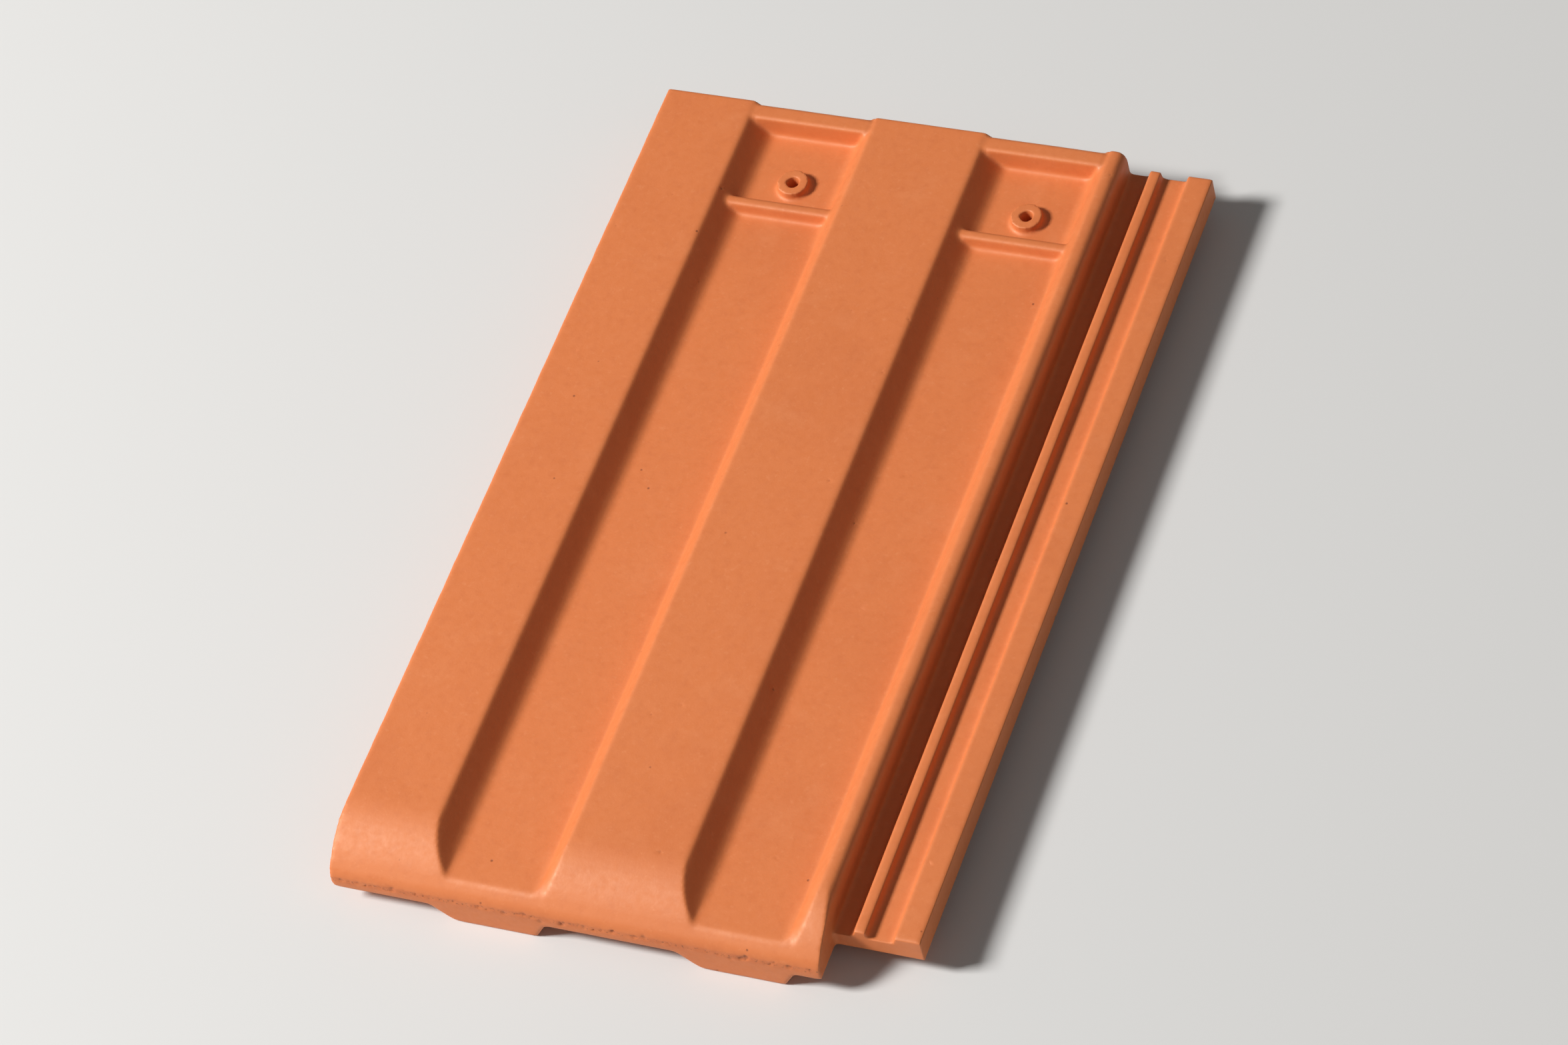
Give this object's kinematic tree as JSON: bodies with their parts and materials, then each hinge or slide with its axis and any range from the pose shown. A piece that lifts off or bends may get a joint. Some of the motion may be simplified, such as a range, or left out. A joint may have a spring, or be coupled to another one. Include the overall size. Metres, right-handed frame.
{
  "type": "clay roof tile",
  "caption": "Pressed clay interlocking roof tile with flat pans between raised crowns, a rounded nose, a side channel and flap, head dams, hanging nibs and nail holes.",
  "frame": {"origin": "centre of the bounding box's underside, on the plane that the pan lips and nibs rest on", "axes": "+X across the course from the flap to the channel, +Y up the roof slope from the nose to the head, +Z out of the weathered face"},
  "size_m": [0.28, 0.465, 0.0355],
  "materials": {
    "fired_clay": "unglazed fired clay, matt, with fine pores and faint mottling"
  },
  "bodies": {
    "root": {"roof_tile": "fired_clay"}
  },
  "joints": []
}
